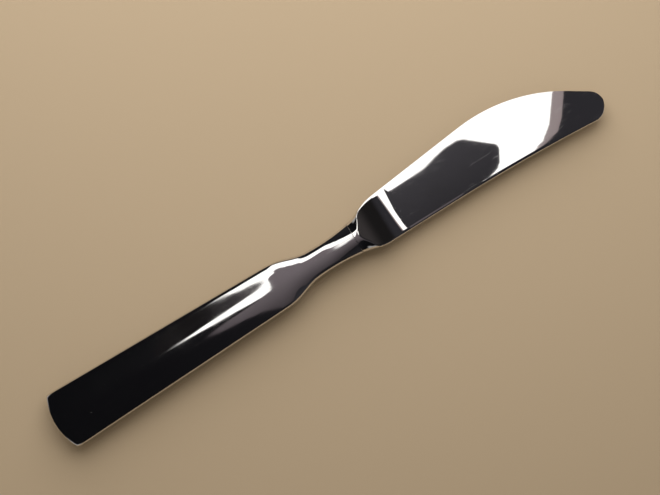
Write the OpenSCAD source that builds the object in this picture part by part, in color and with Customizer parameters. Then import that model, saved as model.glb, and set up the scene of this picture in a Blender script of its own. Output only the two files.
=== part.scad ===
// Dessert knife with a hollow handle, lying flat on its side.
// The knife runs along X from the handle's butt to the blade's tip, with its cutting edge towards +Y.
// The shapes are laid out along two distances: x from the butt, and s from the seam where the blade begins.

/* [Handle] */
// Length of the handle, from its butt to the seam at the blade
handle_length = 110.5; // [95:0.5:125]
// Width of the handle at its butt
butt_width = 19.4; // [16.4:0.2:22]
// Width of the handle where its shoulders begin
shoulder_width = 15.1; // [13:0.1:17]
// Width of the neck at its waist
waist_width = 8.8; // [7.4:0.1:10.4]
// Width of the handle at the seam
collar_width = 10.5; // [8.8:0.1:12]
// Thickness of the handle's body
handle_thickness = 8.6; // [7.6:0.1:11]
// Thickness of the neck at its waist
waist_thickness = 7.4; // [6.4:0.1:8.4]
// Thickness of the handle at the seam
collar_thickness = 8.3; // [7:0.1:9]
// Length of the curve from the shoulders in to the neck
shoulder_run = 16.5; // [12:0.5:22]
// Length of the slender neck, from the end of that curve to the seam
neck_length = 14.5; // [12.5:0.5:20]
// Distance from the neck's waist to the seam
waist_to_seam = 11; // [8:0.5:14]
// Radius of the crown across the handle's body
body_crown_radius = 26; // [18:1:60]
// Radius of the crown across the neck
neck_crown_radius = 21; // [12:0.5:30]
// Rounding of the long edges of the handle's body
body_edge_radius = 1.4; // [0.6:0.1:2]
// Rounding of the long edges of the neck
neck_edge_radius = 1.8; // [0.8:0.1:2.2]

/* [Butt] */
// How far the middle of the butt stands out past its corners
butt_bow = 2.1; // [0:0.1:4]
// Length over which the faces roll down to the butt
butt_roll_length = 5.5; // [2:0.5:8]
// How far each face drops where it rolls down to the butt
butt_roll_drop = 1.3; // [0.4:0.1:2]
// How far each corner of the butt is drawn in by its rounding
butt_corner_draw = 0.3; // [0.1:0.1:1]

/* [Shells and fillings] */
// Wall of the pressed half shells
shell_wall = 0.9; // [0.6:0.05:1.2]
// Thickness of the braze line between the half shells
braze_thickness = 0.1; // [0.06:0.02:0.3]
// Thickness of the solder ring at the seam
solder_thickness = 0.2; // [0.1:0.05:0.5]
// Gap that stays between the cement and what it is poured against
cement_clearance = 0.05; // [0.03:0.01:0.15]
// Air left in the handle behind the butt, where no cement is poured
cement_start = 6; // [4:0.5:40]

/* [Tang] */
// Length of the spigot that plugs the handle's mouth
spigot_length = 4; // [2:0.5:8]
// Gap round the spigot
spigot_clearance = 0.06; // [0.03:0.01:0.15]
// Length of the tang behind the spigot
tang_length = 48; // [25:1:70]
// Width of the tang at the spigot
tang_width = 4.2; // [3:0.1:4.6]
// Width of the tang at its far end
tang_end_width = 2.8; // [2.6:0.1:4.6]
// Thickness of the tang
tang_thickness = 2.6; // [2:0.1:3.2]
// Depth of the notches that key the tang into the cement
notch_depth = 0.5; // [0.2:0.1:0.8]
// Radius of those notches
notch_radius = 1.2; // [0.8:0.1:2]
// Distance from one pair of notches to the next
notch_pitch = 9; // [6:0.5:14]

/* [Blade] */
// Length of the blade and bolster, from the seam to the tip
blade_length = 89.5; // [80:0.5:110]
// Thickness of the blade at its spine, where the scoop ends
spine_thickness = 2.4; // [1.8:0.1:3]
// Angle between the blade's two sides, which thins it from the spine to the cutting edge
wedge_angle = 5; // [3:0.1:5.4]
// Angle at which each side thins towards the tip
distal_angle = 0.25; // [0:0.05:0.4]
// Length over which the bolster widens into the blade
heel_run = 13; // [10:0.5:18]
// Distance from the seam to the crest where the scoop begins
scoop_start = 2.6; // [1.5:0.1:5]
// Distance from the seam to the end of the scoop, where the flat side begins
scoop_end = 18; // [12:0.5:24]
// Distance of the spine from the handle's axis
spine_reach = 7.1; // [6:0.1:8.5]
// Distance from the seam at which the spine begins to bow outwards
spine_bow_start = 35; // [20:1:50]
// Radius of that bow
spine_bow_radius = 600; // [400:10:1200]
// Distance of the cutting edge's flank from the handle's axis, carried back to the seam
flank_reach = 7.4; // [6:0.1:8.5]
// Angle at which the flank leaves the handle's axis
flank_angle = 6; // [3:0.1:7]
// Radius of the belly of the cutting edge
belly_radius = 55; // [35:1:60]
// Angle at which the cutting edge comes down to the nose
drop_angle = 33; // [30:0.5:38]
// Radius of the nose
nose_radius = 5; // [4:0.1:6]

/* [Hidden] */

steel = "#c9c8cc";
blade_steel = "#d6d5d8";
braze = "#b9b4ab";
solder = "#8d8a88";
cement = "#6b5a49";

// Steps along and across the curved faces
roll_steps = 5;
body_steps = 8;
shoulder_steps = 16;
neck_steps = 6;
edge_steps = 4;
crown_steps = 7;
inner_edge_steps = 2;
inner_crown_steps = 4;
mouth_steps = 3;
crest_steps = 12;
belly_steps = 14;
nose_steps = 8;
bow_steps = 8;
scoop_steps = 6;
notch_facets = 48;

// Places along the knife
rolls_to_bow = 3;
shoulder_at = handle_length - neck_length - shoulder_run;
waist_at = handle_length - waist_to_seam;
bow_run = rolls_to_bow*butt_roll_length;
shell_end = handle_length - solder_thickness/2;
blank_start = handle_length + solder_thickness/2;
spigot_start = shell_end - spigot_length;
tang_start = spigot_start - tang_length;
least_edge_radius = 0.3;
flat_crown_radius = 500;
heel_spare = 0.4;
heel_half_t = spine_thickness/2 + neck_edge_radius + heel_spare;
spigot_bite = 1.5;
heel_lap = 0.02;
heel_bury = 2;
heel_cap = 0.4;
scoop_depth = (collar_thickness - spine_thickness)/2;
scoop_radius = (pow(scoop_end - scoop_start, 2) + pow(scoop_depth, 2))/(2*scoop_depth);
crest_start_s = scoop_start/2;
crest_share = 0.3;
crest_end_s = mix(crest_start_s, scoop_end, crest_share);
bolster_end_s = max(heel_run, scoop_end) + 2*heel_cap;
blade_start_s = bolster_end_s - heel_cap;

// Places on the blade's outline, measured from the seam and from the handle's axis
nose_s = blade_length - nose_radius;
nose_y = sqrt(pow(spine_bow_radius + nose_radius, 2) - pow(nose_s - spine_bow_start, 2))
       - spine_bow_radius - spine_reach;
spine_tangent_s = spine_bow_start
                + (nose_s - spine_bow_start)*spine_bow_radius/(spine_bow_radius + nose_radius);
drop_reach = nose_y + nose_radius/cos(drop_angle) + tan(drop_angle)*nose_s;
belly_s = (drop_reach - flank_reach + belly_radius*(1/cos(flank_angle) - 1/cos(drop_angle)))
        /(tan(flank_angle) + tan(drop_angle));
belly_y = flank_reach + tan(flank_angle)*belly_s - belly_radius/cos(flank_angle);
belly_start_s = belly_s - belly_radius*sin(flank_angle);
belly_end_s = belly_s + belly_radius*sin(drop_angle);
nose_start_s = nose_s + nose_radius*sin(drop_angle);
cut_width = 3*(belly_y + belly_radius + spine_reach);
cut_length = 3*blade_length;
blank_thickness = 2*spine_thickness;

// The origin is under the middle of the knife's box
middle_x = (handle_length + blade_length)/2;
middle_y = (belly_y + belly_radius - butt_width/2)/2;
rest_z = handle_thickness/2;

function mix(a, b, t) = a + (b - a)*t;
function ease(t) = let (k = min(max(t, 0), 1)) k*k*k*(k*(6*k - 15) + 10);
function steps(from, to, n) = [for (i = [1:n]) mix(from, to, i/n)];

// Half widths and half thicknesses of the handle
function neck_share(x) = ease((x - shoulder_at)/shoulder_run);
function flare(x) = pow((x - waist_at)/waist_to_seam, 2);
function body_half_w(x) = mix(butt_width, shoulder_width, x/shoulder_at)/2;
function neck_half_w(x) = mix(waist_width, collar_width, flare(x))/2;
function neck_half_t(x) = mix(waist_thickness, collar_thickness, flare(max(x, waist_at)))/2;
function handle_half_w(x) = mix(body_half_w(x), neck_half_w(x), neck_share(x));
function handle_half_t(x) = mix(handle_thickness/2, neck_half_t(x), neck_share(x));
function crown(x) = 1/mix(1/body_crown_radius, 1/neck_crown_radius, neck_share(x));
function edge_radius(x) = mix(body_edge_radius, neck_edge_radius, neck_share(x));

// Rolling down to the butt: 1 at the very end, 0 where the roll begins
function roll(x) = 1 - sqrt(1 - pow(1 - min(max(x/butt_roll_length, 0), 1), 2));
function bow(x, share) = butt_bow*share*share*pow(1 - min(x/bow_run, 1), 2);

// Upper half of a section, from its +Y side over the crown, narrowly flat in its middle, to its -Y side
function half_section(w, h, crown_r, edge_r, floor_z, edge_n, crown_n) =
    let (lean = asin((w - edge_r)/(crown_r - edge_r)),
         flat_half = lean/(2*crown_n + 1),
         base = h - crown_r*cos(flat_half),
         cy = (crown_r - edge_r)*sin(lean),
         cz = base + (crown_r - edge_r)*cos(lean),
         edge = [for (i = [0:edge_n]) let (a = mix(90, lean, i/edge_n))
             [cy + edge_r*sin(a), cz + edge_r*cos(a)]],
         top = [for (a = steps(lean, flat_half, crown_n)) [crown_r*sin(a), base + crown_r*cos(a)]],
         quarter = concat([[w, floor_z]], edge, top))
    concat(quarter, [for (i = [len(quarter) - 1:-1:0]) [-quarter[i][0], quarter[i][1]]]);

// A whole section: its upper half without the points on the middle plane, and its mirror image below
function whole_section(half) =
    concat([for (i = [1:len(half) - 2]) half[i]],
           [for (i = [len(half) - 2:-1:1]) [half[i][0], -half[i][1]]]);

// Section of the handle at x, drawn in by a wall
function handle_section(x, inset, floor_z, edge_n, crown_n) =
    half_section(handle_half_w(x) - inset, handle_half_t(x) - inset, crown(x) - inset,
                 max(edge_radius(x) - inset, least_edge_radius), floor_z, edge_n, crown_n);

// The same section set in its place along the handle, rolled down and bowed out at the butt
function placed_section(x, roll_x, inset, floor_z, edge_n, crown_n) =
    let (w = handle_half_w(x) - inset,
         across = 1 - roll(roll_x)*butt_corner_draw/w,
         up = 1 - roll(roll_x)*butt_roll_drop/handle_half_t(x))
    [for (p = handle_section(x, inset, floor_z, edge_n, crown_n))
        [x + bow(roll_x, p[0]/w), p[0]*across, max(p[1]*up, floor_z)]];

// Distances along the handle at which sections are taken
handle_stations = concat([0],
    [for (i = [1:roll_steps]) butt_roll_length*(1 - cos(90*i/roll_steps))],
    steps(butt_roll_length, shoulder_at, body_steps),
    steps(shoulder_at, shoulder_at + shoulder_run, shoulder_steps),
    steps(shoulder_at + shoulder_run, shell_end, neck_steps));
last_station = len(handle_stations) - 1;
cavity_stations = [for (x = handle_stations) mix(shell_wall, shell_end, x/shell_end)];

seam_z = braze_thickness/2;
outer_rings = [for (x = handle_stations)
    placed_section(x, x, 0, seam_z, edge_steps, crown_steps)];
inner_rings = [for (i = [0:last_station])
    placed_section(cavity_stations[i], handle_stations[i], shell_wall, seam_z, edge_steps, crown_steps)];

// Two rows of point numbers joined by triangles, leaving out those that shrink to a line
function strip(a, b) = [for (j = [0:len(a) - 2], t = [[a[j], b[j], b[j + 1]], [a[j], b[j + 1], a[j + 1]]])
    if (t[0] != t[1] && t[1] != t[2] && t[0] != t[2]) t];

// A closed solid through a row of whole sections, with flat ends
module loft(rings) {
    n = len(rings[0]);
    last = len(rings) - 1;
    function row(i) = [for (j = [0:n]) i*n + j%n];
    function upper(i) = [for (j = [0:n/2 - 1]) i*n + j];
    function lower(i) = [for (j = [0:n/2 - 1]) i*n + n - 1 - j];
    sides = [for (i = [0:last - 1]) each strip(row(i), row(i + 1))];
    polyhedron([for (ring = rings) each ring],
               concat(strip(lower(0), upper(0)), sides, strip(upper(last), lower(last))), convexity = 4);
}

// The foot of a butt section, on the plane where the half shells meet
function foot(ring) = [for (j = [2:len(ring) - 3]) [ring[j][0], ring[j][1], seam_z]];

// Half shell: outer skin, mouth, inner skin, inside of the butt, joint, outside of the butt
module half_shell() {
    m = len(outer_rings[0]);
    inner_base = (last_station + 1)*m;
    foot_base = 2*inner_base;
    function outer_row(i) = [for (j = [0:m - 1]) i*m + j];
    function inner_row(i) = [for (j = [0:m - 1]) inner_base + i*m + j];
    function foot_row(top, base) =
        [for (j = [0:m - 1]) j < 2 ? top[0] : j > m - 3 ? top[m - 1] : base + j - 2];
    function side_row(base, j) = [for (i = [0:last_station]) base + i*m + j];
    outer_foot = foot_row(outer_row(0), foot_base);
    inner_foot = foot_row(inner_row(0), foot_base + m - 4);
    points = concat([for (ring = outer_rings) each ring], [for (ring = inner_rings) each ring],
                    foot(outer_rings[0]), foot(inner_rings[0]));
    faces = concat(
        [for (i = [0:last_station - 1]) each strip(outer_row(i), outer_row(i + 1))],
        strip(outer_row(last_station), inner_row(last_station)),
        [for (i = [0:last_station - 1]) each strip(inner_row(i + 1), inner_row(i))],
        strip(inner_row(0), inner_foot),
        strip(inner_foot, outer_foot),
        strip(outer_foot, outer_row(0)),
        strip(side_row(0, 0), side_row(inner_base, 0)),
        strip(side_row(inner_base, m - 1), side_row(0, m - 1)));
    polyhedron(points, faces, convexity = 6);
}

// Plan of one face of the joint: in along one side, round the butt and out along the other
function rim(rings) = concat(
    [for (i = [last_station:-1:0]) rings[i][0]],
    foot(rings[0]),
    [for (i = [0:last_station]) rings[i][len(rings[i]) - 1]]);
function flat(points) = [for (p = points) [p[0], p[1]]];

// Bore of the handle, drawn in by a clearance, for what fills it
function bore_ring(x, clearance) =
    let (half = handle_section(x, shell_wall + clearance, 0, inner_edge_steps, inner_crown_steps))
    [for (p = whole_section(half)) [x, p[0], p[1]]];

// Cutting edge and spine, as distances from the handle's axis
function edge_line(s) =
    s < belly_start_s ? flank_reach + tan(flank_angle)*s
    : s < belly_end_s ? belly_y + sqrt(pow(belly_radius, 2) - pow(s - belly_s, 2))
    : s < nose_start_s ? drop_reach - tan(drop_angle)*s
    : nose_y + sqrt(max(pow(nose_radius, 2) - pow(s - nose_s, 2), 0));
function spine_line(s) =
    s < spine_bow_start ? -spine_reach
    : s < spine_tangent_s ? sqrt(pow(spine_bow_radius, 2) - pow(s - spine_bow_start, 2))
                          - spine_bow_radius - spine_reach
    : nose_y - sqrt(max(pow(nose_radius, 2) - pow(s - nose_s, 2), 0));
function edge_y(s) = mix(neck_half_w(handle_length + s), edge_line(s) + heel_lap, ease(s/heel_run));
function spine_y(s) = mix(-neck_half_w(handle_length + s), spine_line(s) - heel_lap, ease(s/heel_run));

// Height of one ground side of the blade over its middle plane, and of the scoop that runs out into it
function side_z(s, y) =
    spine_thickness/2 - tan(wedge_angle/2)*(y + spine_reach) - tan(distal_angle)*(s - scoop_end);
function scoop_z(s) = scoop_radius - sqrt(max(pow(scoop_radius, 2) - pow(max(scoop_end - s, 0), 2), 0));

// Section of the bolster at s: a crowned bar, hollowed where the scoop runs below its crown
function bolster_ring(s) =
    let (e = edge_y(s), b = spine_y(s), mid = (e + b)/2, t = ease(s/heel_run),
         half = half_section((e - b)/2, mix(neck_half_t(handle_length + s), heel_half_t, t),
                             1/mix(1/neck_crown_radius, 1/flat_crown_radius, t), neck_edge_radius, 0,
                             edge_steps, crown_steps),
         cut = [for (p = half) [p[0], min(p[1], side_z(s, mid + p[0]) + scoop_z(s) + heel_lap)]])
    [for (p = whole_section(cut)) [handle_length + s, mid + p[0], p[1]]];

bolster_stations = concat([solder_thickness/2],
    steps(solder_thickness/2, crest_start_s, mouth_steps),
    steps(crest_start_s, crest_end_s, crest_steps),
    steps(crest_end_s, scoop_end, scoop_steps),
    [bolster_end_s]);

// Distances from the seam at which points are taken along the blade's outline
edge_stations = concat([blade_start_s, belly_start_s],
    steps(belly_start_s, belly_end_s, belly_steps),
    [nose_start_s],
    [for (i = [1:nose_steps]) nose_s + nose_radius*sin(mix(drop_angle, 90, i/nose_steps))]);
spine_stations = concat(
    [for (i = [nose_steps - 1:-1:1]) nose_s + nose_radius*sin(90*i/nose_steps)],
    steps(nose_s, spine_bow_start, bow_steps),
    [blade_start_s]);

// What is ground away above one side of the blade
module side_cut() {
    translate([handle_length + scoop_end, -spine_reach, spine_thickness/2])
        rotate([-wedge_angle/2, distal_angle, 0])
            translate([-blade_length, -cut_width/2, 0])
                cube([cut_length, cut_width, blank_thickness]);
}

// Blade from its heel to its tip: an outline ground flat on both sides, with its start buried in the bolster
module plate() {
    buried_x = handle_length + blade_start_s - heel_bury;
    difference() {
        linear_extrude(blank_thickness, center = true)
            polygon(concat([[buried_x, edge_line(blade_start_s) - heel_bury/2]],
                           [for (s = edge_stations) [handle_length + s, edge_line(s)]],
                           [for (s = spine_stations) [handle_length + s, spine_line(s)]],
                           [[buried_x, spine_line(blade_start_s) + heel_bury/2]]));
        side_cut();
        mirror([0, 0, 1]) side_cut();
    }
}

// Tang: a tapered flat bar with notches down both edges
module tang() {
    notch_count = floor((tang_length - notch_pitch)/notch_pitch);
    linear_extrude(tang_thickness, center = true)
        difference() {
            polygon([[tang_start, -tang_end_width/2], [blank_start, -tang_width/2],
                     [blank_start, tang_width/2], [tang_start, tang_end_width/2]]);
            for (i = [1:notch_count], side = [-1, 1]) {
                x = tang_start + i*notch_pitch;
                half = mix(tang_end_width, tang_width, (x - tang_start)/(blank_start - tang_start))/2;
                translate([x, side*(half + notch_radius - notch_depth)])
                    circle(notch_radius, $fn = notch_facets);
            }
        }
}

// What the cement leaves free round the tang
module tang_room() {
    translate([-cement_clearance, 0, 0])
        linear_extrude(tang_thickness + 2*cement_clearance, center = true)
            polygon([[tang_start, -tang_end_width/2 - cement_clearance],
                     [blank_start, -tang_width/2 - cement_clearance],
                     [blank_start, tang_width/2 + cement_clearance],
                     [tang_start, tang_end_width/2 + cement_clearance]]);
}

module in_place() {
    translate([-middle_x, -middle_y, rest_z]) children();
}

module handle_shell_upper() {
    color(steel) in_place() half_shell();
}

module handle_shell_lower() {
    color(steel) in_place() mirror([0, 0, 1]) half_shell();
}

module handle_seam_braze() {
    inside = rim(inner_rings);
    color(braze) in_place()
        linear_extrude(braze_thickness, center = true)
            polygon(flat(concat(rim(outer_rings), [for (i = [len(inside) - 1:-1:0]) inside[i]])));
}

module collar_solder_ring() {
    outside = handle_section(handle_length, 0, 0, edge_steps, crown_steps);
    inside = handle_section(handle_length, shell_wall, 0, inner_edge_steps, inner_crown_steps);
    color(solder) in_place()
        translate([handle_length, 0, 0])
            rotate([90, 0, 90])
                linear_extrude(solder_thickness, center = true)
                    difference() {
                        polygon(whole_section(outside));
                        polygon(whole_section(inside));
                    }
}

module tang_cement() {
    color(cement) in_place()
        difference() {
            loft([for (x = concat([cement_start], steps(cement_start, shoulder_at, body_steps),
                                  steps(shoulder_at, shoulder_at + shoulder_run, shoulder_steps),
                                  steps(shoulder_at + shoulder_run, spigot_start, mouth_steps)))
                bore_ring(x, cement_clearance)]);
            tang_room();
        }
}

module blade() {
    color(blade_steel) in_place()
        union() {
            loft([for (s = bolster_stations) bolster_ring(s)]);
            plate();
            loft([for (x = [spigot_start, shell_end - spigot_length/2, shell_end, blank_start + spigot_bite])
                bore_ring(x, spigot_clearance)]);
            tang();
        }
}

handle_shell_upper();
handle_shell_lower();
handle_seam_braze();
collar_solder_ring();
tang_cement();
blade();
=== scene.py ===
from math import asin, cos, exp, pi, radians, sin, sqrt, tan

import bmesh
import bpy
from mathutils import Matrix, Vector


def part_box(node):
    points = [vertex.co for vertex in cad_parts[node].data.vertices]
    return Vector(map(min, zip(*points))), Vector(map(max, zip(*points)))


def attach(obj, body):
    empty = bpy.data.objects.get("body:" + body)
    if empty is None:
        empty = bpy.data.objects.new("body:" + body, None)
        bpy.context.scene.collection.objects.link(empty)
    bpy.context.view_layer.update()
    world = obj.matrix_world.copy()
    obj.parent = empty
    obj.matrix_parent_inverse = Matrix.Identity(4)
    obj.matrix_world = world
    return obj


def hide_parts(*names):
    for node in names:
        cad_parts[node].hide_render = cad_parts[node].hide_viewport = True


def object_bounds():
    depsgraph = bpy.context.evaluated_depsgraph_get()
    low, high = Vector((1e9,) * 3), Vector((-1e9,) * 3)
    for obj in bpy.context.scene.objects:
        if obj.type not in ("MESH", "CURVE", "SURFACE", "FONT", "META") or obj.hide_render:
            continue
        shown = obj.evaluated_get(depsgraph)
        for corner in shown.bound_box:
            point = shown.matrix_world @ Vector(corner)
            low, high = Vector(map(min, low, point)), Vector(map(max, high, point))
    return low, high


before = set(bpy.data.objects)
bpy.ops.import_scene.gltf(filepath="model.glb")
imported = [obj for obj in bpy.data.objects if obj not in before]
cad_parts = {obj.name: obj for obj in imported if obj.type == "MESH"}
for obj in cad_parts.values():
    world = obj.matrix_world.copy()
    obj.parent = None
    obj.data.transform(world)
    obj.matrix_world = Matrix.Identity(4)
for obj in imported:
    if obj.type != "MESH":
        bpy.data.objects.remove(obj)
cadLow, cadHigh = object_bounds()
scene = bpy.context.scene
scene.view_settings.view_transform = "Standard"
mm = 0.001

# every piece is modelled in millimetres from the butt, along the handle's axis, and then put in the frame
ringLow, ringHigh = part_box("collar_solder_ring")
ringMid = (ringLow + ringHigh) / 2
buttEnd = Vector((cadLow.x, ringMid.y, ringMid.z))
seamAt = (ringMid.x - buttEnd.x) / mm  # where the handle ends and the blade's bolster begins
seamGap = (ringHigh.x - ringLow.x) / mm
print("frame loaded: seam at %.2f mm" % seamAt)


# small helpers for the shapes
def mix(a, b, t):
    return a + (b - a) * t


def clamp(t):
    return max(0.0, min(1.0, t))


def ease(t):
    k = clamp(t)
    return k ** 3 * (k * (6 * k - 15) + 10)


# the lower of two heights, with the crease between them rounded over
def softMin(a, b, blend):
    k = clamp(0.5 + 0.5 * (b - a) / blend)
    return mix(b, a, k) - blend * k * (1 - k)


def spread(start, end, count):
    return [mix(start, end, k / count) for k in range(count)]


crownSteps, edgeSteps = 14, 8
acrossSteps = crownSteps + edgeSteps + 1  # from the crown's middle to the foot of the side


# a point of a crowned section: column 0 is the crown's middle, the last column is the side's foot
def crownedPoint(column, halfWidth, halfThick, crownRadius, edgeRadius, foot):
    k, side = abs(column), 1 if column >= 0 else -1
    lean = asin((halfWidth - edgeRadius) / (crownRadius - edgeRadius))
    if k <= crownSteps:
        a = lean * k / crownSteps
        return side * crownRadius * sin(a), halfThick - crownRadius + crownRadius * cos(a)
    if k <= crownSteps + edgeSteps:
        a = mix(lean, pi / 2, (k - crownSteps) / edgeSteps)
        y = (crownRadius - edgeRadius) * sin(lean) + edgeRadius * sin(a)
        z = halfThick - crownRadius + (crownRadius - edgeRadius) * cos(lean) + edgeRadius * cos(a)
        return side * y, z
    return side * halfWidth, foot


# a flat grid whose rows become the stations and whose columns run across the section
def sectionGrid(stations, pointAt):
    bm = bmesh.new()
    rows, columns = len(stations) - 1, 2 * acrossSteps
    bmesh.ops.create_grid(bm, x_segments=rows, y_segments=columns, size=1)
    for v in bm.verts:
        row = round((v.co.x + 1) / 2 * rows)
        column = round((v.co.y + 1) / 2 * columns) - acrossSteps
        v.co = pointAt(stations[row], column)
    return bm


# sharp where two faces meet at more than this, smooth elsewhere
def shadeByAngle(bm, degrees):
    for f in bm.faces:
        f.smooth = True
    for e in bm.edges:
        e.smooth = len(e.link_faces) == 2 and e.calc_face_angle(0) < radians(degrees)


def faceOutwards(bm, side):
    bmesh.ops.recalc_face_normals(bm, faces=bm.faces)
    crownFace = max(bm.faces, key=lambda f: side * f.calc_center_median().z)
    if crownFace.normal.z * side < 0:
        bmesh.ops.reverse_faces(bm, faces=bm.faces)


# the lower side mirrors the upper one
def addMirrored(bm):
    copied = bmesh.ops.duplicate(bm, geom=bm.verts[:] + bm.edges[:] + bm.faces[:])["geom"]
    bmesh.ops.scale(bm, vec=(1, 1, -1), verts=[v for v in copied if isinstance(v, bmesh.types.BMVert)])


def finishPiece(bm, name, node, material):
    bmesh.ops.scale(bm, vec=(mm, mm, mm), verts=bm.verts)
    bmesh.ops.translate(bm, vec=buttEnd, verts=bm.verts)
    mesh = bpy.data.meshes.new(name)
    bm.to_mesh(mesh)
    bm.free()
    piece = bpy.data.objects.new(name, mesh)
    scene.collection.objects.link(piece)
    mesh.materials.append(material)
    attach(piece, "root")
    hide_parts(node)
    print("%s: %d faces" % (name, len(mesh.polygons)))
    return piece


# shader maths: a wrapped socket, so that expressions add their Math nodes
class Val:
    def __init__(self, socket):
        self.socket = socket

    # any node: its type, its settings, and the values or links of its sockets
    @staticmethod
    def node(tree, kind, settings=None, inputs=None, out=0):
        n = tree.nodes.new(kind)
        for key, value in (settings or {}).items():
            setattr(n, key, value)
        for key, value in (inputs or {}).items():
            if isinstance(value, Val):
                tree.links.new(value.socket, n.inputs[key])
            else:
                n.inputs[key].default_value = value
        return Val(n.outputs[out]) if len(n.outputs) else n

    def maths(self, operation, *values):
        tree = self.socket.id_data
        return Val.node(tree, "ShaderNodeMath", {"operation": operation}, dict(enumerate(values)))

    def __add__(self, other):
        return self.maths("ADD", self, other)

    def __radd__(self, other):
        return self.maths("ADD", other, self)

    def __sub__(self, other):
        return self.maths("SUBTRACT", self, other)

    def __rsub__(self, other):
        return self.maths("SUBTRACT", other, self)

    def __mul__(self, other):
        return self.maths("MULTIPLY", self, other)

    def __rmul__(self, other):
        return self.maths("MULTIPLY", other, self)

    def __gt__(self, other):
        return self.maths("GREATER_THAN", self, other)

    def __lt__(self, other):
        return self.maths("LESS_THAN", self, other)

    def smooth(self, low, high):
        return Val.node(self.socket.id_data, "ShaderNodeMapRange", {"interpolation_type": "SMOOTHSTEP"},
                        {"Value": self, "From Min": low, "From Max": high})


def newMaterial(name):
    material = bpy.data.materials.new(name)
    material.use_nodes = True
    tree = material.node_tree
    return material, tree, tree.nodes["Principled BSDF"]


def link(tree, value, shader, socket):
    tree.links.new(value.socket, shader.inputs[socket])


def mixColour(tree, factor, a, b):
    return Val.node(tree, "ShaderNodeMix", {"data_type": "RGBA"}, {0: factor, 6: a, 7: b}, out=2)


# noise stretched into lines along the knife, turned a little
def hairlines(tree, coords, turn, along, across, low, high):
    turned = Val.node(tree, "ShaderNodeMapping", {"vector_type": "POINT"},
                      {"Vector": coords, "Rotation": (0, 0, radians(turn)), "Scale": (along, across, across)})
    noise = Val.node(tree, "ShaderNodeTexNoise", None,
                     {"Vector": turned, "Scale": 1.0, "Detail": 2.0, "Roughness": 0.5})
    return noise.smooth(low, high)


# what both steels share: hairlines as (along, across, low, high), ranges as (low, high)
polish = {
    "lineTurn": 4, "lines": (60, 9000, 0.70, 0.76), "crossLines": (90, 7000, 0.72, 0.77), "crossShare": 0.8,
    "grain": (14, 1500, 0.25, 0.75), "scratchRoughness": 0.35,
    "smudgeRange": (0.45, 0.72), "smudgeTint": 0.35,
    "speckFlat": 0.02, "speckRange": (0.03, 0.06), "speckMetal": 0.9, "speckRoughness": 0.5,
}


# mirror polish with hairlines from the polishing mop and from use, smudges and specks of dust
def polishedSteel(name, look):
    material, tree, shader = newMaterial(name)
    coords = Val.node(tree, "ShaderNodeTexCoord", out="Object")
    waves = Val.node(tree, "ShaderNodeTexNoise", None,
                     {"Vector": coords, "Scale": look["waveScale"], "Detail": 1.0})
    smudge = Val.node(tree, "ShaderNodeTexNoise", None,
                      {"Vector": coords, "Scale": look["smudgeScale"], "Detail": 5.0, "Roughness": 0.65})
    smudge = smudge.smooth(*polish["smudgeRange"])
    lines = hairlines(tree, coords, polish["lineTurn"], *polish["lines"])
    crossLines = hairlines(tree, coords, look["crossTurn"], *polish["crossLines"])
    scratches = (lines + crossLines * polish["crossShare"]) * look["scratches"]
    flat = Val.node(tree, "ShaderNodeMapping", None, {"Vector": coords, "Scale": (1, 1, polish["speckFlat"])})
    speck = {"Vector": flat, "Scale": look["dustScale"]}
    cells = Val.node(tree, "ShaderNodeTexVoronoi", None, speck)
    chance = Val.node(tree, "ShaderNodeSeparateColor", None,
                      {"Color": Val.node(tree, "ShaderNodeTexVoronoi", None, speck, out="Color")})
    dust = (1 - cells.smooth(*polish["speckRange"])) * (chance > 1 - look["dust"])
    tint = mixColour(tree, smudge * polish["smudgeTint"], look["colour"], look["smudgeColour"])
    link(tree, mixColour(tree, dust, tint, look["dustColour"]), shader, "Base Color")
    link(tree, 1 - dust * polish["speckMetal"], shader, "Metallic")
    rough = look["roughness"] + smudge * look["smudgeRoughness"]
    rough = rough + scratches * polish["scratchRoughness"] + dust * polish["speckRoughness"]
    link(tree, rough, shader, "Roughness")
    grain = hairlines(tree, coords, 0, *polish["grain"])
    height = waves * look["waveHeight"] + grain * look["grain"] - scratches * look["scratchDepth"]
    bump = Val.node(tree, "ShaderNodeBump", None, {"Height": height, "Distance": mm, "Strength": 1.0})
    link(tree, bump, shader, "Normal")
    return material


# handle: two pressed half shells
handle = {
    "buttWidth": 19.4, "shoulderWidth": 15.1, "waistWidth": 8.8, "collarWidth": 10.5,
    "thickness": 8.6, "waistThickness": 7.5, "collarThickness": 8.3, "swellRun": 0.3,
    "shoulderAt": 79.5, "shoulderRun": 16.5, "waistAt": 99.5, "waistToSeam": 11.0,
    "bodyCrown": 26.0, "neckCrown": 12.5, "collarCrown": 6.5, "bodyEdge": 1.4, "neckEdge": 1.8,
    "buttBow": 2.1, "bowRun": 16.5, "rollLength": 5.5, "rollDrop": 1.3, "cornerDraw": 0.3,
    "wall": 0.6, "seamHalf": 0.05,
    "rollSteps": 10, "bowSteps": 8, "bodySteps": 10, "neckSteps": 44, "sharpAngle": 40, "merge": 0.002,
    "look": {
        "colour": (0.74, 0.725, 0.715, 1), "smudgeColour": (0.6, 0.58, 0.57, 1),
        "dustColour": (0.5, 0.47, 0.43, 1), "dustScale": 420.0, "dust": 0.12,
        "roughness": 0.045, "smudgeRoughness": 0.035, "smudgeScale": 70.0,
        "waveScale": 60.0, "waveHeight": 0.012, "grain": 0.0016,
        "scratches": 0.3, "scratchDepth": 0.0004, "crossTurn": 62,
    },
}


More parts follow.
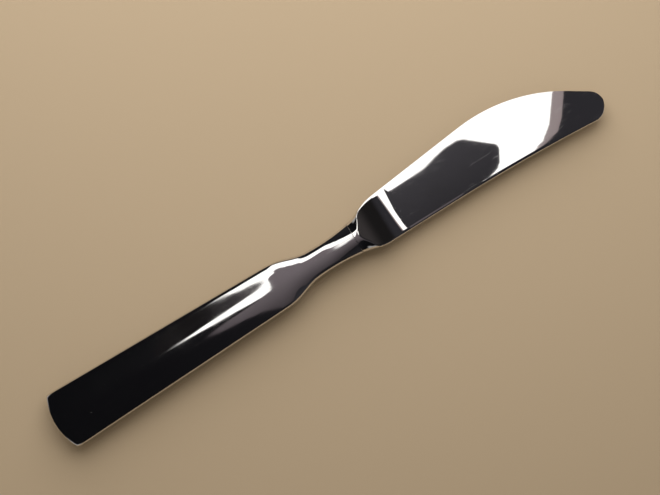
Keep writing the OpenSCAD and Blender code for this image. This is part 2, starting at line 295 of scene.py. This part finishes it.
def handleSizes(x):
    h = handle
    neck = ease((x - h["shoulderAt"]) / h["shoulderRun"])
    flare = ((x - h["waistAt"]) / h["waistToSeam"]) ** 2
    toSeam = max((x - h["waistAt"]) / h["waistToSeam"], 0)
    run = h["swellRun"]
    swell = (toSeam - run * (1 - exp(-toSeam / run))) / (1 - run * (1 - exp(-1 / run)))
    bodyWidth = mix(h["buttWidth"], h["shoulderWidth"], x / h["shoulderAt"])
    halfWidth = mix(bodyWidth, mix(h["waistWidth"], h["collarWidth"], flare), neck) / 2
    halfThick = mix(h["thickness"], mix(h["waistThickness"], h["collarThickness"], swell), neck) / 2
    crown = 1 / mix(mix(1 / h["bodyCrown"], 1 / h["neckCrown"], neck), 1 / h["collarCrown"], toSeam)
    return halfWidth, halfThick, crown, mix(h["bodyEdge"], h["neckEdge"], neck)


def handlePoint(x, column):
    h = handle
    halfWidth, halfThick, crown, edge = handleSizes(x)
    y, z = crownedPoint(column, halfWidth, halfThick, crown, edge, h["seamHalf"])
    roll = 1 - sqrt(1 - (1 - clamp(x / h["rollLength"])) ** 2)
    bow = h["buttBow"] * (y / halfWidth) ** 2 * (1 - min(x / h["bowRun"], 1)) ** 2
    y *= 1 - roll * h["cornerDraw"] / halfWidth
    z = max(z * (1 - roll * h["rollDrop"] / halfThick), h["seamHalf"])
    return x + bow, y, z


def addWall(piece):
    wall = piece.modifiers.new("wall", "SOLIDIFY")
    wall.thickness, wall.offset, wall.use_even_offset = handle["wall"] * mm, -1, True


def makeShell(name, node, side, material):
    h = handle
    mouth = seamAt - seamGap / 2
    stations = [h["rollLength"] * (1 - cos(pi / 2 * k / h["rollSteps"])) for k in range(h["rollSteps"])]
    stations += spread(h["rollLength"], h["bowRun"], h["bowSteps"])
    stations += spread(h["bowRun"], h["shoulderAt"], h["bodySteps"])
    stations += spread(h["shoulderAt"], mouth, h["neckSteps"]) + [mouth]
    bm = sectionGrid(stations, handlePoint)
    # the butt's end wall drops from the first section to the seam
    buttEdges = [e for e in bm.edges if e.is_boundary
                 and all(v.co.x <= h["buttBow"] + 1e-4 and v.co.z > 0.5 for v in e.verts)]
    dropped = bmesh.ops.extrude_edge_only(bm, edges=buttEdges)["geom"]
    for v in dropped:
        if isinstance(v, bmesh.types.BMVert):
            v.co.z = h["seamHalf"]
    bmesh.ops.remove_doubles(bm, verts=bm.verts, dist=h["merge"])
    bmesh.ops.scale(bm, vec=(1, 1, side), verts=bm.verts)
    faceOutwards(bm, side)
    shadeByAngle(bm, h["sharpAngle"])
    addWall(finishPiece(bm, name, node, material))


handleSteel = polishedSteel("handleSteel", handle["look"])
makeShell("handleUpper", "handle_shell_upper", 1, handleSteel)
makeShell("handleLower", "handle_shell_lower", -1, handleSteel)


# blade: bolster, scoop and ground blade in one forging, with its spigot and tang inside the handle
blade = {
    "length": 89.5, "heelRun": 13.0, "crownRun": 7.5, "boltSwell": 0.68,
    "heelThickness": 6.8, "bladeCrown": 500.0, "edge": 1.8,
    "spineThickness": 2.4, "wedge": 2.5, "distal": 0.25, "scoopStart": 2.6, "scoopEnd": 18.0, "crease": 0.12,
    "spineRound": 0.9, "rim": (0.3, 0.9), "rimGrow": (4.0, 13.0), "rimFade": (11.0, 16.5), "rimTilt": 17.0,
    "spineReach": 7.1, "spineBowStart": 35.0, "spineBow": 600.0,
    "flankReach": 7.4, "flankAngle": 6.0, "belly": 55.0, "dropAngle": 33.0, "nose": 5.0,
    "noseY": -4.1284, "bellyAt": 51.7306, "bellyTop": 12.5341, "foot": 0.08, "tipTrim": 0.002,
    "spigotLength": 4.0, "spigotGap": 0.6, "spigotRound": 1.4,
    "tangLength": 48.0, "tangWidth": 4.2, "tangEndWidth": 2.8, "tangThickness": 2.6,
    "notchPitch": 9.0, "notchDepth": 0.5, "notchHalf": 1.0,
    "crest": (2, 6), "boltSteps": 4, "crestSteps": 44, "scoopSteps": 26, "bladeSteps": 60, "noseSteps": 24,
    "sharpAngle": 30, "merge": 0.004,
    "look": {
        "colour": (0.76, 0.745, 0.735, 1), "smudgeColour": (0.62, 0.6, 0.59, 1),
        "dustColour": (0.5, 0.47, 0.43, 1), "dustScale": 420.0, "dust": 0.14,
        "roughness": 0.016, "smudgeRoughness": 0.012, "smudgeScale": 80.0,
        "waveScale": 40.0, "waveHeight": 0.002, "grain": 0.0001,
        "scratches": 0.35, "scratchDepth": 0.0003, "crossTurn": -38,
    },
}


def cuttingEdge(s):
    b = blade
    bellyStart = b["bellyAt"] - b["belly"] * sin(radians(b["flankAngle"]))
    bellyEnd = b["bellyAt"] + b["belly"] * sin(radians(b["dropAngle"]))
    noseAt = b["length"] - b["nose"]
    noseStart = noseAt + b["nose"] * sin(radians(b["dropAngle"]))
    if s < bellyStart:
        return b["flankReach"] + tan(radians(b["flankAngle"])) * s
    if s < bellyEnd:
        return b["bellyTop"] - b["belly"] + sqrt(b["belly"] ** 2 - (s - b["bellyAt"]) ** 2)
    if s < noseStart:
        top = b["bellyTop"] - b["belly"] * (1 - cos(radians(b["dropAngle"])))
        return top - tan(radians(b["dropAngle"])) * (s - bellyEnd)
    return b["noseY"] + sqrt(max(b["nose"] ** 2 - (s - noseAt) ** 2, 0))


def spineEdge(s):
    b = blade
    noseAt = b["length"] - b["nose"]
    past = max(s - b["spineBowStart"], 0)
    if s < noseAt:
        return -b["spineReach"] - b["spineBow"] + sqrt(b["spineBow"] ** 2 - past ** 2)
    return b["noseY"] - sqrt(max(b["nose"] ** 2 - (s - noseAt) ** 2, 0))


# height of the ground side over the middle plane, with the scoop that leads into it
def groundSide(s, y):
    b = blade
    depth = (handle["collarThickness"] - b["spineThickness"]) / 2
    scoopRadius = ((b["scoopEnd"] - b["scoopStart"]) ** 2 + depth ** 2) / (2 * depth)
    toScoop = max(b["scoopEnd"] - s, 0)
    z = b["spineThickness"] / 2 - tan(radians(b["wedge"])) * (y + b["spineReach"])
    z -= tan(radians(b["distal"])) * (s - b["scoopEnd"])
    return z + scoopRadius - sqrt(scoopRadius ** 2 - toScoop ** 2)


# height of a rounded border at a distance in from it
def roundedBorder(inset, top, radius):
    if radius < 0.01 or inset >= radius:
        return 100.0
    return top - radius + sqrt(max(radius ** 2 - (radius - inset) ** 2, 0))


def bladePoint(s, column):
    b, h = blade, handle
    heel = ease(s / b["heelRun"])
    flare = ((s + h["waistToSeam"]) / h["waistToSeam"]) ** 2
    neckHalf = mix(h["waistWidth"], h["collarWidth"], flare) / 2
    edgeY, spineY = mix(neckHalf, cuttingEdge(s), heel), mix(-neckHalf, spineEdge(s), heel)
    halfWidth, midY = max((edgeY - spineY) / 2, 0.01), (edgeY + spineY) / 2
    neckThick = mix(h["waistThickness"], h["collarThickness"], mix(1, flare, b["boltSwell"]))
    halfThick = mix(neckThick, b["heelThickness"], heel) / 2
    crown = 1 / mix(1 / h["collarCrown"], 1 / b["bladeCrown"], ease(s / b["crownRun"]))
    y, z = crownedPoint(column, halfWidth, halfThick, crown, min(b["edge"], 0.9 * halfWidth), b["foot"])
    y += midY
    if abs(column) == acrossSteps:
        return seamAt + s, y, z
    z = softMin(z, groundSide(s, y), b["crease"])
    spineTop = groundSide(s, spineY)
    spineRadius = min(b["spineRound"], spineTop - 2 * b["foot"], halfWidth / 2)
    z = min(z, roundedBorder(y - spineY, spineTop, spineRadius))
    # beside the scoop, the border on the cutting edge's side is crowned
    grow, fade = [ease((s - low) / (high - low)) for low, high in (b["rimGrow"], b["rimFade"])]
    rim = mix(b["rim"][0], b["rim"][1], grow)
    inRim = max(1 - (edgeY - y) / rim, 0)
    drop = tan(radians(b["rimTilt"])) * rim / 2 * inRim ** 2 * (1 - fade)
    z = min(z, groundSide(s, y) - drop)
    return seamAt + s, y, max(z, b["foot"])


# the spigot plugs the handle's mouth
def addSpigot(bm):
    b, h = blade, handle
    inset = h["wall"] + b["spigotGap"]
    size = (b["spigotLength"], h["collarWidth"] - 2 * inset, h["collarThickness"] - 2 * inset)
    start = seamAt - seamGap / 2 - b["spigotLength"]
    verts = bmesh.ops.create_cube(bm, size=1)["verts"]
    bmesh.ops.scale(bm, vec=size, verts=verts)
    bmesh.ops.translate(bm, vec=(start + size[0] / 2, 0, 0), verts=verts)
    longEdges = [e for e in bm.edges if e.verts[0] in verts and abs(e.verts[0].co.x - e.verts[1].co.x) > 1]
    bmesh.ops.bevel(bm, geom=longEdges, offset=b["spigotRound"], affect="EDGES", segments=4, profile=0.5,
                    material=-1)


# the tang is a tapered flat bar, pinched in pairs of notches that key it into the cement
def addTang(bm):
    b = blade
    end = seamAt - seamGap / 2 - b["spigotLength"]
    start = end - b["tangLength"]
    notches = int(b["tangLength"] / b["notchPitch"]) - 1
    stations = [start]
    for k in range(1, notches + 1):
        stations += [start + k * b["notchPitch"] + d * b["notchHalf"] for d in (-1, 0, 1)]
    stations.append(end)
    rows = len(stations) - 1
    verts = bmesh.ops.create_grid(bm, x_segments=rows, y_segments=1, size=1)["verts"]
    for v in verts:
        row = round((v.co.x + 1) / 2 * rows)
        half = mix(b["tangEndWidth"], b["tangWidth"], (stations[row] - start) / b["tangLength"]) / 2
        notched = row % 3 == 2 and row < rows
        v.co = (stations[row], v.co.y * (half - (b["notchDepth"] if notched else 0)), -b["tangThickness"] / 2)
    flat = list({f for v in verts for f in v.link_faces})
    raised = bmesh.ops.extrude_face_region(bm, geom=flat)["geom"]
    raisedVerts = [v for v in raised if isinstance(v, bmesh.types.BMVert)]
    bmesh.ops.translate(bm, vec=(0, 0, b["tangThickness"]), verts=raisedVerts)


def makeBlade(material):
    b = blade
    crestStart, crestEnd = b["crest"]  # closer stations where the crest of the scoop curves across
    noseAt = b["length"] - b["nose"]
    stations = spread(seamGap / 2, crestStart, b["boltSteps"]) + spread(crestStart, crestEnd, b["crestSteps"])
    stations += spread(crestEnd, b["scoopEnd"], b["scoopSteps"])
    stations += spread(b["scoopEnd"], noseAt, b["bladeSteps"])
    stations += [noseAt + b["nose"] * sin(pi / 2 * k / b["noseSteps"]) for k in range(b["noseSteps"])]
    stations.append(b["length"] - b["tipTrim"])
    bm = sectionGrid(stations, bladePoint)
    bmesh.ops.remove_doubles(bm, verts=bm.verts, dist=b["merge"])
    addMirrored(bm)
    bmesh.ops.bridge_loops(bm, edges=[e for e in bm.edges if e.is_boundary])
    addSpigot(bm)
    addTang(bm)
    bmesh.ops.recalc_face_normals(bm, faces=bm.faces)
    shadeByAngle(bm, b["sharpAngle"])
    finishPiece(bm, "bladeForging", "blade", material)


bladeSteel = polishedSteel("bladeSteel", blade["look"])
makeBlade(bladeSteel)


# braze and cement keep their CAD shapes, the solder ring follows the handle's section, each has its finish
joints = {
    "braze": {"colour": (0.62, 0.58, 0.5, 1), "dark": (0.42, 0.39, 0.34, 1), "roughness": 0.16, "metal": 1.0,
              "scale": 900.0, "bump": 0.01},
    "solder": {"colour": (0.4, 0.39, 0.38, 1), "dark": (0.12, 0.115, 0.11, 1), "roughness": 0.34, "metal": 1.0,
               "scale": 700.0, "bump": 0.05},
    "cement": {"colour": (0.36, 0.28, 0.2, 1), "dark": (0.22, 0.16, 0.11, 1), "roughness": 0.85, "metal": 0.0,
               "scale": 420.0, "bump": 0.3},
}


def grainy(name, look):
    material, tree, shader = newMaterial(name)
    coords = Val.node(tree, "ShaderNodeTexCoord", out="Object")
    grain = Val.node(tree, "ShaderNodeTexNoise", None,
                     {"Vector": coords, "Scale": look["scale"], "Detail": 4.0, "Roughness": 0.6})
    link(tree, mixColour(tree, grain.smooth(0.35, 0.65), look["dark"], look["colour"]), shader, "Base Color")
    link(tree, look["roughness"] + (grain - 0.5) * 0.2, shader, "Roughness")
    shader.inputs["Metallic"].default_value = look["metal"]
    bump = Val.node(tree, "ShaderNodeBump", None, {"Height": grain * look["bump"], "Distance": mm})
    link(tree, bump, shader, "Normal")
    return material


def makeRing(material):
    halfWidth, halfThick, crown, edge = handleSizes(seamAt)
    bm = sectionGrid([seamAt - seamGap / 2, seamAt + seamGap / 2],
                     lambda x, column: (x, *crownedPoint(column, halfWidth, halfThick, crown, edge, 0)))
    addMirrored(bm)
    bmesh.ops.remove_doubles(bm, verts=bm.verts, dist=handle["merge"])
    faceOutwards(bm, 1)
    shadeByAngle(bm, handle["sharpAngle"])
    addWall(finishPiece(bm, "solderRing", "collar_solder_ring", material))


makeRing(grainy("solder", joints["solder"]))
for node, name in (("handle_seam_braze", "braze"), ("tang_cement", "cement")):
    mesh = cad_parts[node].data
    mesh.materials.clear()
    mesh.materials.append(grainy(name, joints[name]))
print("joint finishes done")


# stage: floor, window panels, and the cards that the mirror polish shows, as corners in millimetres from the
# camera's axis; a glow is an axis and its strengths at two places along it
stage = {
    "turn": -32.02, "lookAt": (102.4, 1.667), "cameraHeight": 450.0, "pictureWidth": 208.04,
    "floorSize": 8.0, "floorDrop": 0.02, "floorColour": (0.43, 0.33, 0.22, 1),
    "floorRoughness": 0.9, "floorShine": 0.1, "backdrop": (0.43, 0.33, 0.22, 1),
    "windowHeight": 800.0, "windowColour": (1, 0.985, 0.96, 1), "sideGlow": 1.7,
    "window": [
        (-175, 84), (-64, -33), (120, -33), (170, 38), (198, 45), (214, 50), (226, 59), (245, 81), (320, 150),
        (340, 510), (-175, 510)],
    "windowGlow": (0, -175, 0.0, -140, 1.7),
    "sideWindow": [(12, 508), (330, 508), (300, 240), (760, 240), (760, 1600), (300, 1600), (50, 580)],
    "stripCard": [(50, 44.1), (74.9, 44.8), (81.7, 46.5), (91.2, 48.5), (102, 48.5), (102, 60), (50, 60)],
    "windowFrame": [
        (170, 38), (198, 45), (214, 50), (226, 59), (243, 81), (318, 150), (335, 640), (352, 640), (330, 150),
        (255, 80), (238, 58), (229, 50), (222, 48), (212, 46.3), (200, 45.2)],
    "frameColour": (0.36, 0.3, 0.3, 1),
    "head": [
        (-178, 66), (-157, 79), (-133, 101), (-107, 125), (-85, 137), (-74, 150), (-69, 180), (-67, 227),
        (-69, 275), (-75, 305), (-90, 322), (-91, 346), (-107, 415), (-121, 479), (-130, 520), (-178, 520)],
    "headGlow": (0, -130, 0.008, -70, 0.06),
    "bladeCard": [
        (66, -300), (142, -300), (150, 44), (159, 47.5), (170, 51.5), (179, 67), (153, 89.5), (136, 89.5),
        (122, 86.5), (112, 84), (66, 83)],
    "bladeCardGlow": (1, 40, 0.036, 90, 0.058), "bladeCardColour": (0.97, 0.93, 1.04, 1),
    "neckCard": [
        (130, -620), (130, 20), (74, 40), (74, 96), (130, 99), (130, 410), (68, 368), (45, 340), (32, 297),
        (-20, 265), (-50, 225), (-53, 110), (-62, 0), (-78, -36), (-114, -66), (-128, -110), (-118, -180),
        (-95, -236), (-82, -280), (-70, -400), (-62, -620)],
    "neckCardGlow": (1, -620, 0.05, 250, 0.195), "cardColour": (1, 0.86, 0.93, 1),
    "drop": {"windowFrame": 2, "sideWindow": 4, "headCard": 5, "bladeCard": 6, "neckCard": 8},
    "rounding": {"headCard": 5, "bladeCard": 4, "neckCard": 6}, "roundSteps": 8,
    "keyStrength": 0.79, "keySize": 0.5, "keyAt": (132, 246, 240), "fill": (0.3, 0.28, 0.245, 1),
    "ceiling": (0.005, 0.005, 0.006, 1),
    "tipCeiling": (0.033, 0.032, 0.037, 1), "tipRange": (-0.2, 0.3),
    "scoopCeiling": (0.013, 0.012, 0.012, 1), "scoopRange": (0.34, 0.42),
    "farCeiling": (0.045, 0.04, 0.04, 1), "farRange": (0.52, 0.68),
    "wall": (0.4, 0.39, 0.38, 1), "wallRange": (0.2, 0.36), "cornerRange": (0.28, 0.46),
}
centre = Vector((buttEnd.x + stage["lookAt"][0] * mm, buttEnd.y + stage["lookAt"][1] * mm, 0))


def stageObject(name, bm, material, shown):
    mesh = bpy.data.meshes.new(name)
    bm.to_mesh(mesh)
    bm.free()
    obj = bpy.data.objects.new(name, mesh)
    scene.collection.objects.link(obj)
    mesh.materials.append(material)
    obj.visible_camera = obj.visible_diffuse = obj.visible_shadow = shown  # the cards only show in the polish


def glowing(name, colour, strength):
    material = bpy.data.materials.new(name)
    material.use_nodes = True
    tree = material.node_tree
    tree.nodes.clear()
    glow = Val.node(tree, "ShaderNodeEmission", None, {"Color": colour, "Strength": strength})
    Val.node(tree, "ShaderNodeOutputMaterial", None, {"Surface": glow})
    return material


# a glowing material whose strength runs from one value to another along (0) or across (1) the knife
def patterned(name, colour, glow):
    axis, low, lowGlow, high, highGlow = glow
    material = glowing(name, colour, 1.0)
    tree = material.node_tree
    coords = Val.node(tree, "ShaderNodeTexCoord", out="Object")
    place = Val.node(tree, "ShaderNodeSeparateXYZ", None, {"Vector": coords}, out=axis) - centre[axis]
    strength = lowGlow + place.smooth(low * mm, high * mm) * (highGlow - lowGlow)
    link(tree, strength, tree.nodes["Emission"], "Strength")
    return material


# a flat card above the knife, whose corners can be rounded
def overheadCard(name, corners, height, material):
    bm = bmesh.new()
    verts = [bm.verts.new(centre + Vector((x, y, height)) * mm) for x, y in corners]
    bm.faces.new(verts)
    rounding = stage["rounding"].get(name, 0)
    if rounding:
        bmesh.ops.bevel(bm, geom=verts, offset=rounding * mm, affect="VERTICES", segments=stage["roundSteps"],
                        profile=0.5, material=-1, clamp_overlap=True)
    stageObject(name, bm, material, False)


def makeStage():
    st = stage
    bm = bmesh.new()
    bmesh.ops.create_grid(bm, x_segments=1, y_segments=1, size=st["floorSize"] / 2)
    bmesh.ops.translate(bm, vec=(0, 0, cadLow.z - st["floorDrop"] * mm), verts=bm.verts)
    material, tree, shader = newMaterial("paleFloor")
    shader.inputs["Base Color"].default_value = st["floorColour"]
    shader.inputs["Roughness"].default_value = st["floorRoughness"]
    shader.inputs["Specular IOR Level"].default_value = st["floorShine"]
    stageObject("floor", bm, material, True)

    # the cards hang a little below the window, and the nearer ones hide the others
    high, drop = st["windowHeight"], st["drop"]
    overheadCard("windowPanel", st["window"], high,
                 patterned("windowGlow", st["windowColour"], st["windowGlow"]))
    overheadCard("sideWindow", st["sideWindow"], high - drop["sideWindow"],
                 glowing("sideGlow", st["windowColour"], st["sideGlow"]))
    overheadCard("stripCard", st["stripCard"], high / 2,
                 glowing("stripGlow", st["windowColour"], st["sideGlow"]))
    overheadCard("windowFrame", st["windowFrame"], high - drop["windowFrame"],
                 glowing("frameGrey", st["frameColour"], 1.0))
    overheadCard("headCard", st["head"], high - drop["headCard"],
                 patterned("headDark", st["cardColour"], st["headGlow"]))
    overheadCard("bladeCard", st["bladeCard"], high - drop["bladeCard"],
                 patterned("cardDark", st["bladeCardColour"], st["bladeCardGlow"]))
    overheadCard("neckCard", st["neckCard"], high - drop["neckCard"],
                 patterned("cardPale", st["cardColour"], st["neckCardGlow"]))

    # a lamp from the same side lights the floor and what isn't mirror bright
    key = bpy.data.lights.new("key", "AREA")
    key.shape, key.size = "SQUARE", st["keySize"]
    key.energy = st["keyStrength"] * pi
    keyLamp = bpy.data.objects.new("key", key)
    scene.collection.objects.link(keyLamp)
    keyLamp.location = centre + Vector(st["keyAt"]) * mm
    keyLamp.rotation_euler = (centre - keyLamp.location).to_track_quat("-Z", "Y").to_euler()
    keyLamp.visible_glossy = False

    world = bpy.data.worlds.new("studio")
    scene.world = world
    world.use_nodes = True
    tree = world.node_tree
    tree.nodes.clear()
    direction = Val.node(tree, "ShaderNodeTexCoord", out="Generated")
    up = Val.node(tree, "ShaderNodeSeparateXYZ", None, {"Vector": direction}, out="Z")
    along = Val.node(tree, "ShaderNodeSeparateXYZ", None, {"Vector": direction}, out="X")
    aside = Val.node(tree, "ShaderNodeSeparateXYZ", None, {"Vector": direction}, out="Y")
    corner = (along * aside).maths("ABSOLUTE", along * aside).smooth(*st["cornerRange"])
    ceiling = mixColour(tree, along.smooth(*st["tipRange"]), st["ceiling"], st["tipCeiling"])
    ceiling = mixColour(tree, along.smooth(*st["scoopRange"]), ceiling, st["scoopCeiling"])
    ceiling = mixColour(tree, along.smooth(*st["farRange"]), ceiling, st["farCeiling"])
    room = mixColour(tree, corner * (1 - up.smooth(*st["wallRange"])), ceiling, st["wall"])
    mirrored = Val.node(tree, "ShaderNodeLightPath", out="Is Glossy Ray")
    seen = Val.node(tree, "ShaderNodeLightPath", out="Is Camera Ray")
    around = mixColour(tree, seen, mixColour(tree, mirrored, st["fill"], room), st["backdrop"])
    sky = Val.node(tree, "ShaderNodeBackground", None, {"Color": around, "Strength": 1.0})
    Val.node(tree, "ShaderNodeOutputWorld", None, {"Surface": sky})

    lens = bpy.data.cameras.new("camera")
    camera = bpy.data.objects.new("camera", lens)
    scene.collection.objects.link(camera)
    camera.location = centre + Vector((0, 0, buttEnd.z + st["cameraHeight"] * mm))
    camera.rotation_euler = (0, 0, radians(st["turn"]))
    lens.lens = lens.sensor_width * st["cameraHeight"] / st["pictureWidth"]
    lens.clip_start, lens.clip_end = 0.01, 100
    scene.camera = camera


makeStage()
print("stage done")
